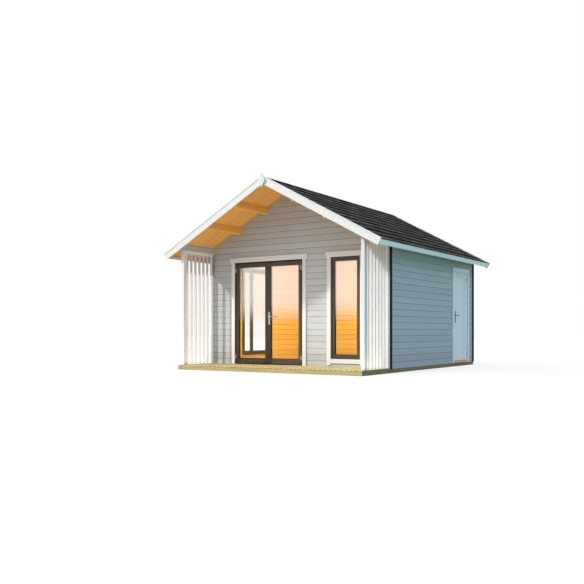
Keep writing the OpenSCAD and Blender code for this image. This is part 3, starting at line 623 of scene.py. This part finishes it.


# Eave boards. A white board closes the ends of the roof boards along each eave, nailed into them. It and the
# side door take a brighter copy of the white paint, whose extra brightness is painted light.
random.seed(20)
# A whiter copy of the white paint; its extra brightness is painted light.
painted_light_pale, painted_light_deep, painted_light_knot = (0.95, 0.90, 0.87, 1), (0.90, 0.85, 0.82, 1), (0.89, 0.83, 0.79, 1)
painted_light_white = timber(
    "white with painted light", painted_light_pale, painted_light_deep, painted_light_knot, ring_share=0.25, roughness=0.36, relief=0.10
)
eave_face, eave_drop = 2.6490, 0.072
eave_low, eave_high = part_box("eave_fascias")
eaves = planed("eave_fascias", fine_ease, LENGTHWAYS["Y"])
piece("eave_boards", eaves, painted_light_white, nodes=["eave_fascias"])
eave_nails = bench()
for slope in slopes.values():
    nail_rows(eave_nails, (0, eave_low.y, -eave_drop), (eave_face, eave_high.y, 0), "Y", (1, 0, 0), slope)
piece("eave_nails", eave_nails, painted_light_white)


# Bargeboards. White boards follow both slopes at each gable, mitred at the apex, with a strip along their
# top edge and a diamond-shaped plate nailed over the joint.
random.seed(21)
barge_drop, barge_end, barge_ease = 0.092, 2.630, 0.003
nails_start, nails_top = 0.12, 0.02
for side, slope in slopes.items():
    name = side + "_bargeboards"
    boards = planed(name, barge_ease, slope, segments=2)
    piece(side + "_gable_boards", boards, white_paint, nodes=[name])
gable_low, gable_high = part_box("right_bargeboards")
gable_nails = bench()
for slope in slopes.values():
    for y in (gable_low.y, gable_high.y):
        low, high = (nails_start, y, -barge_drop), (barge_end, y, nails_top)
        nail_rows(gable_nails, low, high, "X", (0, -1 if y < 0 else 1, 0), slope)
piece("gable_nails", gable_nails, white_paint)
strips = planed("edge_strips", fine_ease, LENGTHWAYS["X"])
for part in joined_parts(strips):
    mark(strips, part, right_slope if part[0].co.x > 0 else left_slope)
piece("gable_strips", strips, white_paint, nodes=["edge_strips"])
plates = planed("apex_plates", barge_ease, LENGTHWAYS["Z"], segments=2)
piece("diamond_plates", plates, white_paint, nodes=["apex_plates"])


# Double door frame. Dark brown jambs, head and sill of laminated pine, screwed into the log opening, with
# a stop behind the leaves.
random.seed(22)
dark_pale, dark_deep, dark_knot = (0.034, 0.024, 0.016, 1), (0.022, 0.015, 0.010, 1), (0.016, 0.011, 0.008, 1)
dark_brown = timber(
    "dark brown lacquer", dark_pale, dark_deep, dark_knot, ring_share=0.8, roughness=0.40, relief=0.14
)
dark_brown.node_tree.nodes["Principled BSDF"].inputs["Specular IOR Level"].default_value = 0.2


def wall_point(wall, u, depth, z):
    """A place on a wall that runs along X or along Y."""
    return (u, depth, z) if wall == "X" else (depth, u, z)


def framed(bm, wall, u, z, widths, depth, ease=fine_ease):
    """Two uprights with a bottom and a top rail between them; a width of 0 leaves its board out."""
    side, bottom, top = widths
    for a, b in ((u[0], u[0] + side), (u[1] - side, u[1])):
        plank(bm, wall_point(wall, a, depth[0], z[0]), wall_point(wall, b, depth[1], z[1]), "Z", ease)
    for a, b in ((z[0], z[0] + bottom), (z[1] - top, z[1])):
        if b > a:
            low, high = wall_point(wall, u[0] + side, depth[0], a), wall_point(wall, u[1] - side, depth[1], b)
            plank(bm, low, high, wall, ease)


jamb, sill, stop, stop_gap = 0.025, 0.030, 0.017, 0.005
leaf_low, leaf_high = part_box("left_door_leaf")
stop_face = leaf_high.y + stop_gap
door = bench()
u, z = (door_low.x, door_high.x), (door_low.z, door_high.z)
framed(door, "X", u, z, (jamb, sill, jamb), (door_low.y, door_high.y))
u, z = (u[0] + jamb, u[1] - jamb), (z[0] + sill, z[1] - jamb)
framed(door, "X", u, z, (stop, stop, stop), (stop_face, door_high.y))
piece("double_door_frame", door, dark_brown, nodes=["door_frame"])


# Double door leaves. Tenoned stiles and rails hold a double glass unit, which black gaskets and inner
# glazing beads keep in place. Their brown lacquer is a shade lighter than the frame's.
random.seed(23)
brown_pale, brown_deep = (0.088, 0.062, 0.042, 1), (0.054, 0.038, 0.026, 1)
brown_knot = (0.040, 0.028, 0.019, 1)
brown = timber(
    "brown lacquer", brown_pale, brown_deep, brown_knot, ring_share=0.8, roughness=0.36, relief=0.14
)
brown.node_tree.nodes["Principled BSDF"].inputs["Specular IOR Level"].default_value = 0.3
stile, top_rail, bottom_rail, leaf_ease = 0.065, 0.072, 0.095, 0.003
bead, bead_gap, bead_back, bead_ease = 0.014, 0.0026, 0.002, 0.003
gasket_width, gasket_thick, gasket_ease = 0.005, 0.0025, 0.0008
gasket_pale, gasket_deep = (0.014, 0.014, 0.014, 1), (0.009, 0.009, 0.009, 1)
gasket_finish = timber(
    "black gasket", gasket_pale, gasket_deep, gasket_deep, ring_share=0.5, roughness=0.55, relief=0.05
)


def glazing(name, wall, lights, z, face, glass, body):
    """Gaskets on both faces of the panes, and the beads that hold them from inside."""
    seal, beads = bench(), bench()
    for light in lights:
        for near in (glass[0] - gasket_thick, glass[1]):
            framed(seal, wall, light, z, (gasket_width,) * 3, (near, near + gasket_thick), gasket_ease)
        inner = (glass[1] + bead_gap, face - bead_back)
        framed(beads, wall, light, z, (bead,) * 3, inner, bead_ease)
    piece(name + "_gaskets", seal, gasket_finish, body)
    piece(name + "_beads", beads, brown, body)


for side in ("left", "right"):
    low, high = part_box(side + "_door_leaf")
    pane_low, pane_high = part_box(side + "_door_glass")
    u, z, depth = (low.x, high.x), (low.z, high.z), (low.y, high.y)
    leaf = bench()
    framed(leaf, "X", u, z, (stile, bottom_rail, top_rail), depth, leaf_ease)
    piece(side + "_leaf", leaf, brown, side + "_door", [side + "_door_leaf"])
    light, z = (u[0] + stile, u[1] - stile), (z[0] + bottom_rail, z[1] - top_rail)
    glazing(side + "_leaf", "X", [light], z, depth[1], (pane_low.y, pane_high.y), side + "_door")


# Glass. Each pane is a sealed double unit of clear float glass. A reflecting coat on it grows from nothing
# low down to full near the top, which paints a brighter sky reflection into its upper half, and a faint film
# dulls its gloss in places.
clear_glass, filmed_glass = (0.99, 0.985, 0.97, 1), (0.96, 0.975, 0.965, 1)
painted_reflection_from, painted_reflection_full = 0.85, 1.40
film_scale, film_from, film_full, film_rough = 2.2, 0.45, 0.75, 0.035
glass_finish, tree, bsdf = new_finish("double glass")
place = put(tree, "TexCoord").outputs["Object"]
film = put(tree, "TexNoise", {"Vector": place, "Scale": film_scale, "Detail": 5.0}).outputs["Fac"]
tree.links.new(between(tree, film, film_from, film_full, 0.0, film_rough), bsdf.inputs["Roughness"])
tint = blended(tree, film, clear_glass, filmed_glass)
tree.links.new(tint, bsdf.inputs["Base Color"])
up = put(tree, "SeparateXYZ", {"Vector": place}).outputs["Z"]
# The coat weight rises with height: a painted reflection of the sky in the upper half.
tree.links.new(between(tree, up, painted_reflection_from, painted_reflection_full), bsdf.inputs["Coat Weight"])
bsdf.inputs["Coat IOR"].default_value = 4.0
bsdf.inputs["Coat Roughness"].default_value = 0.02
bsdf.inputs["Transmission Weight"].default_value = 1.0
bsdf.inputs["IOR"].default_value = 1.25
for name in ("left_door_glass", "right_door_glass", "window_glass"):
    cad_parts[name].material_slots[0].material = glass_finish


# Hinges and levers. Lift-off hinges, whose lower half carries the pin and whose upper half drops over it, are
# screwed slantwise into frame and leaf by a stud each. All is satin steel but the side door's lever set,
# which takes a darkened copy of the steel as painted shade.
random.seed(24)
lever_ease, hinge_ease = 0.0004, 0.0009
steel = metal("satin steel", (0.62, 0.62, 0.61, 1), roughness=0.24, brushed=0.18)
# A darkened copy of the satin steel: painted shade for the side door's lever set.
painted_shade_steel = metal("steel with painted shade", (0.105, 0.110, 0.115, 1), roughness=0.34, brushed=0.14)
for name, finish, body in (
    ("frame_hinges", steel, "cabin"), ("left_leaf_hardware", steel, "left_door"),
    ("right_leaf_hardware", steel, "right_door"), ("door_lever", steel, "door_lever"),
    ("side_leaf_hardware", painted_shade_steel, "side_door"), ("side_lever", painted_shade_steel, "side_lever"),
):
    ease = lever_ease if "lever" in name else hinge_ease
    cast = planed(name, ease, LENGTHWAYS["Z"], segments=2)
    if name == "side_leaf_hardware":
        halves, hinge_side = cast.copy(), (side_low.y + side_high.y) / 2
        for bm, far in ((cast, True), (halves, False)):
            bmesh.ops.delete(bm, geom=[v for v in bm.verts if (v.co.y > hinge_side) == far], context="VERTS")
        piece("side_leaf_hinges_steel", halves, steel, body, smooth=35)
    piece(name + "_steel", cast, finish, body, [name], smooth=35)


# Lock plates. Two countersunk screws hold each plate, and a profile cylinder with a keyway stands a little
# proud of it under the lever. The keyway is a thin black sliver on the cylinder's face, which paints the
# shade in the slot.
random.seed(29)
plate_thick, plate_above, plate_height, key_below = 0.006, 0.090, 0.246, 0.072
lever_radius, plug_radius, stem_width, stem_height = 0.008, 0.0085, 0.010, 0.0165
plate_screw, screw_in, stem_lap = 0.0036, 0.014, 0.6
plug_depth, plug_out, stem_out, stem_in, stem_ease = 0.003, 0.0010, 0.0022, 0.0005, 0.0008
slot_half, slot_reach, slot_out, slot_in, slot_ease = 0.0007, 0.0045, 0.0027, 0.0015, 0.0001
side_leaf_low, side_leaf_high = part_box("side_door_leaf")
for lever, body, finish in (("door_lever", "right_door", steel), ("side_lever", "side_door", painted_shade_steel)):
    low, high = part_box(lever)
    grip = (low.z + high.z) / 2
    top, key = grip + plate_above, grip - key_below
    cylinders, keyway_shades = bench(), bench()
    for out in (-1, 1):
        if lever == "door_lever":
            face = leaf_low.y - plate_thick if out < 0 else leaf_high.y + plate_thick
            spot, turned = (low.x + lever_radius, face, 0), math.pi / 2 * (1 + out)
        else:
            face = side_leaf_low.x - plate_thick if out < 0 else side_leaf_high.x + plate_thick
            spot, turned = (face, low.y + lever_radius, 0), math.pi / 2 * out
        place = Matrix.Translation(spot) @ Matrix.Rotation(turned, 4, "Z")
        way = place.to_3x3() @ Vector((0, -1, 0))
        for z in (top - screw_in, top - plate_height + screw_in):
            screw_head(cylinders, place @ Vector((0, 0, z)), way, plate_screw)
        turn = Matrix.Translation((0, -plug_out, key)) @ Matrix.Rotation(math.pi / 2, 4, "X")
        bmesh.ops.create_cone(
            cylinders, cap_ends=True, segments=20, radius1=plug_radius, radius2=plug_radius, depth=plug_depth,
            matrix=place @ turn,
        )
        stem_low = (-stem_width / 2, -stem_out, key - plug_radius - stem_height)
        stem_high = (stem_width / 2, stem_in, key - plug_radius * stem_lap)
        plank(cylinders, stem_low, stem_high, "Z", stem_ease, place)
        # The keyway sliver: painted shade for the slot in the plug.
        slot_low = (-slot_half, -slot_out, key - slot_reach)
        slot_high = (slot_half, -slot_in, key + slot_reach)
        plank(keyway_shades, slot_low, slot_high, "Z", slot_ease, place)
    piece(body + "_lock_cylinders", cylinders, finish, body, smooth=35)
    piece(body + "_keyways", keyway_shades, gasket_finish, body)


# Windows. A fixed sash sits in each frame, a little behind its face, with the same lacquer, glass and beads
# as the doors. The left wall's window has a narrow and a wide light with a mullion between them.
random.seed(25)
window_z, frame_bar, sash_bar, sash_back = (0.229, 2.112), 0.030, 0.045, 0.008
frame_deep, sash_deep, sash_ease, unit = 0.070, 0.044, 0.003, 0.018
front_window, left_window, narrow_light = (0.8095, 1.4205), (-0.670, 0.450), 0.235
light_edge = frame_bar + sash_bar
front_face, left_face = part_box("front_gable")[0].y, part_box("left_wall_front")[0].x
light_z = (window_z[0] + light_edge, window_z[1] - light_edge)
windows = bench()
for wall, u, out in (("X", front_window, front_face), ("Y", left_window, left_face)):
    start, end = u[0] + light_edge, u[1] - light_edge
    split = start + narrow_light
    lights = [(start, end)] if wall == "X" else [(start, split), (split + light_edge, end)]
    framed(windows, wall, u, window_z, (frame_bar,) * 3, (out, out + frame_deep))
    u, z = (u[0] + frame_bar, u[1] - frame_bar), (window_z[0] + frame_bar, window_z[1] - frame_bar)
    sash = (out + sash_back, out + sash_back + sash_deep)
    framed(windows, wall, u, z, (sash_bar,) * 3, sash, sash_ease)
    for a, b in zip(lights, lights[1:]):
        low, high = wall_point(wall, a[1], sash[0], light_z[0]), wall_point(wall, b[0], sash[1], light_z[1])
        plank(windows, low, high, "Z", sash_ease)
    pane = sash[0] + (sash_deep - unit) / 2
    name = "front_window" if wall == "X" else "left_window"
    glazing(name, wall, lights, light_z, sash[1], (pane, pane + unit), "cabin")
piece("window_joinery", windows, brown, nodes=["window_frames"])


# Casings. White boards cover the joint between frame and logs round every opening, nailed to the logs.
# Over the front and left openings the head board is taller and reaches past the boards below it. The side
# door's boards take the brighter copy of the white, whose extra brightness is painted light.
random.seed(26)
casing, casing_thick, head, ear, leg = 0.080, 0.018, 0.098, 0.027, 0.034
right_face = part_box("right_wall_front")[1].x
trim, side_trim = bench(), bench()
for wall, u, z, face, out, over, past, foot in (
    ("X", (door_low.x, door_high.x), (deck_high.z, door_high.z), front_face, -1, head, ear, 0),
    ("X", front_window, window_z, front_face, -1, head, ear, leg),
    ("Y", left_window, window_z, left_face, -1, head, ear, leg),
    ("Y", (side_low.y, side_high.y), (side_low.z, side_high.z), right_face, 1, casing, 0, 0),
):
    bm = trim if out < 0 else side_trim
    near, far = sorted((face, face + out * casing_thick))
    way = wall_point(wall, 0, out, 0)
    low_end = z[0] - (casing + foot if foot else 0)
    boards = [((a, low_end), (b, z[1]), "Z") for a, b in ((u[0] - casing, u[0]), (u[1], u[1] + casing))]
    boards.append(((u[0] - casing - past, z[1]), (u[1] + casing + past, z[1] + over), wall))
    if foot:
        boards.append(((u[0], z[0] - casing), (u[1], z[0]), wall))
    for (a, bottom), (b, top), along in boards:
        low, high = wall_point(wall, a, near, bottom), wall_point(wall, b, far, top)
        plank(bm, low, high, along)
        nail_rows(bm, low, high, along, way)
piece("opening_casings", trim, white_paint, nodes=["casings"])
piece("side_door_casings", side_trim, painted_light_white)


# Side door. A white framed leaf with one long panel, mouldings round it on both faces, and an oiled pine
# threshold under it. The frame is screwed into the logs and has a stop behind the leaf.
random.seed(27)
side_stile, side_top, side_bottom, threshold_ease = 0.130, 0.065, 0.083, 0.004
panel_back, panel_ease, moulding, moulding_back, moulding_ease = 0.009, 0.001, 0.020, 0.002, 0.0032
# The side door's frame and leaf take the brighter white, whose extra brightness is painted light.
surround = bench()
u, z = (side_low.y, side_high.y), (side_low.z, side_high.z)
framed(surround, "Y", u, z, (jamb, 0, jamb), (side_low.x, side_high.x))
u, z = (u[0] + jamb, u[1] - jamb), (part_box("side_threshold")[1].z, z[1] - jamb)
framed(surround, "Y", u, z, (stop, 0, stop), (side_low.x, side_leaf_low.x - stop_gap))
piece("side_frame", surround, painted_light_white, nodes=["side_door_frame"])
threshold = planed("side_threshold", threshold_ease, LENGTHWAYS["Y"], segments=2)
piece("threshold", threshold, pine, nodes=["side_threshold"])
leaf = bench()
u, z = (side_leaf_low.y, side_leaf_high.y), (side_leaf_low.z, side_leaf_high.z)
depth = (side_leaf_low.x, side_leaf_high.x)
framed(leaf, "Y", u, z, (side_stile, side_bottom, side_top), depth)
u, z = (u[0] + side_stile, u[1] - side_stile), (z[0] + side_bottom, z[1] - side_top)
panel = (depth[0] + panel_back, depth[1] - panel_back)
plank(leaf, (panel[0], u[0], z[0]), (panel[1], u[1], z[1]), "Z", panel_ease)
for a, b in ((depth[0] + moulding_back, panel[0]), (panel[1], depth[1] - moulding_back)):
    framed(leaf, "Y", u, z, (moulding,) * 3, (a, b), moulding_ease)
piece("side_leaf", leaf, painted_light_white, "side_door", ["side_door_leaf"])


# Floor. A plain pale studio floor, white to the camera and in reflections, that still takes the shadow. The
# light that it throws back on the walls is warm grey, and cooler on the right of the cabin.
floor_size, floor_glow = 60.0, 0.75
floor_shown, warm_bounce, cool_bounce = (0.23, 0.22, 0.21, 1), (0.19, 0.18, 0.17, 1), (0.10, 0.27, 0.27, 1)
cool_from, cool_full = 1.0, 3.0


def seen_share(tree):
    """1 for rays from the camera, from a gloss or through glass, else 0."""
    path = put(tree, "LightPath").outputs
    mirrored = sums(tree, "MAXIMUM", path["Is Glossy Ray"], path["Is Transmission Ray"])
    return sums(tree, "MAXIMUM", path["Is Camera Ray"], mirrored)


studio = bmesh.new()
bmesh.ops.create_grid(studio, x_segments=1, y_segments=1, size=floor_size)
floor_mesh = bpy.data.meshes.new("studio_floor")
studio.to_mesh(floor_mesh)
studio.free()
floor_finish, tree, bsdf = new_finish("studio floor")
tree.nodes.remove(bsdf)
seen = seen_share(tree)
place = put(tree, "SeparateXYZ", {"Vector": put(tree, "TexCoord").outputs["Object"]}).outputs
bounce = blended(tree, between(tree, place["X"], cool_from, cool_full), warm_bounce, cool_bounce)
shown = blended(tree, seen, bounce, floor_shown)
matt = put(tree, "BsdfDiffuse", {"Color": shown}).outputs[0]
glow = sums(tree, "MULTIPLY", seen, floor_glow)
glow = put(tree, "Emission", {"Color": (1, 1, 1, 1), "Strength": glow}).outputs[0]
both = put(tree, "AddShader", {0: matt, 1: glow}).outputs[0]
tree.links.new(both, tree.nodes["Material Output"].inputs["Surface"])
floor_mesh.materials.append(floor_finish)
studio_floor = bpy.data.objects.new("studio_floor", floor_mesh)
bpy.context.scene.collection.objects.link(studio_floor)


# Light. A soft sky, brightest in front and cool on the right, a warm sun from the left front, a broad soft
# lamp low in the porch, which shines upwards, and one soft lamp in the room.
sky_full, left_edge, right_edge = 0.6, (-0.75, -0.25), (0.0, 0.45)
world = bpy.data.worlds.new("studio sky")
bpy.context.scene.world = world
world.use_nodes = True
tree = world.node_tree
seen = seen_share(tree)
heading = put(tree, "SeparateXYZ", {"Vector": put(tree, "TexCoord").outputs["Generated"]}).outputs
high = between(tree, heading["Z"], 0.0, sky_full)
left_sky = blended(tree, high, (0.28, 0.27, 0.265, 1), (0.55, 0.54, 0.53, 1))
front_sky = blended(tree, high, (0.72, 0.70, 0.685, 1), (1.70, 1.65, 1.61, 1))
right_sky = blended(tree, high, (0.19, 0.30, 0.36, 1), (0.565, 0.83, 1.13, 1))
sky = blended(tree, between(tree, heading["X"], *left_edge), left_sky, front_sky)
sky = blended(tree, between(tree, heading["X"], *right_edge), sky, right_sky)
sky = blended(tree, seen, sky, (1, 1, 1, 1))
tree.links.new(sky, tree.nodes["Background"].inputs["Color"])


def lamp(name, kind, place, towards, energy, colour, **settings):
    data = bpy.data.lights.new(name, kind)
    data.energy, data.color = energy, colour
    for key, value in settings.items():
        setattr(data, key, value)
    made = bpy.data.objects.new(name, data)
    made.location = place
    made.rotation_euler = Vector(towards).to_track_quat("-Z", "Y").to_euler()
    bpy.context.scene.collection.objects.link(made)
    return made


lamp("sun", "SUN", (-9, -9, 9), (1.534, 1.0, -1.367), 3.5, (1.0, 0.985, 0.97), angle=math.radians(3))
low_lamp = lamp(
    "low_lamp", "AREA", (0.05, -2.75, 0.125), (0, 0, 1), 29, (1.0, 0.94, 0.88),
    shape="RECTANGLE", size=4.2, size_y=1.6, spread=math.radians(140),
)
low_lamp.visible_camera = False
lamp("room_lamp", "AREA", (0.1, -1.1, 2.3), (0.1, 1, -0.5), 100, (1.0, 0.90, 0.24), shape="DISK", size=1.0)


# Camera. It stands level and low, in front of the cabin and to its right, so uprights stay parallel. Its lens
# is shifted to set the cabin in the frame.
camera_data = bpy.data.cameras.new("camera")
camera_data.sensor_width, camera_data.lens = 36.0, 46.46
camera_data.shift_x, camera_data.shift_y = 0.0269, 0.0671
camera_data.clip_end = 200.0
camera = bpy.data.objects.new("camera", camera_data)
camera.location = (7.750, -13.786, 0.7425)
camera.rotation_euler = (math.radians(90), 0, math.radians(33.93))
bpy.context.scene.collection.objects.link(camera)
bpy.context.scene.camera = camera
bpy.context.scene.view_settings.view_transform = "Standard"
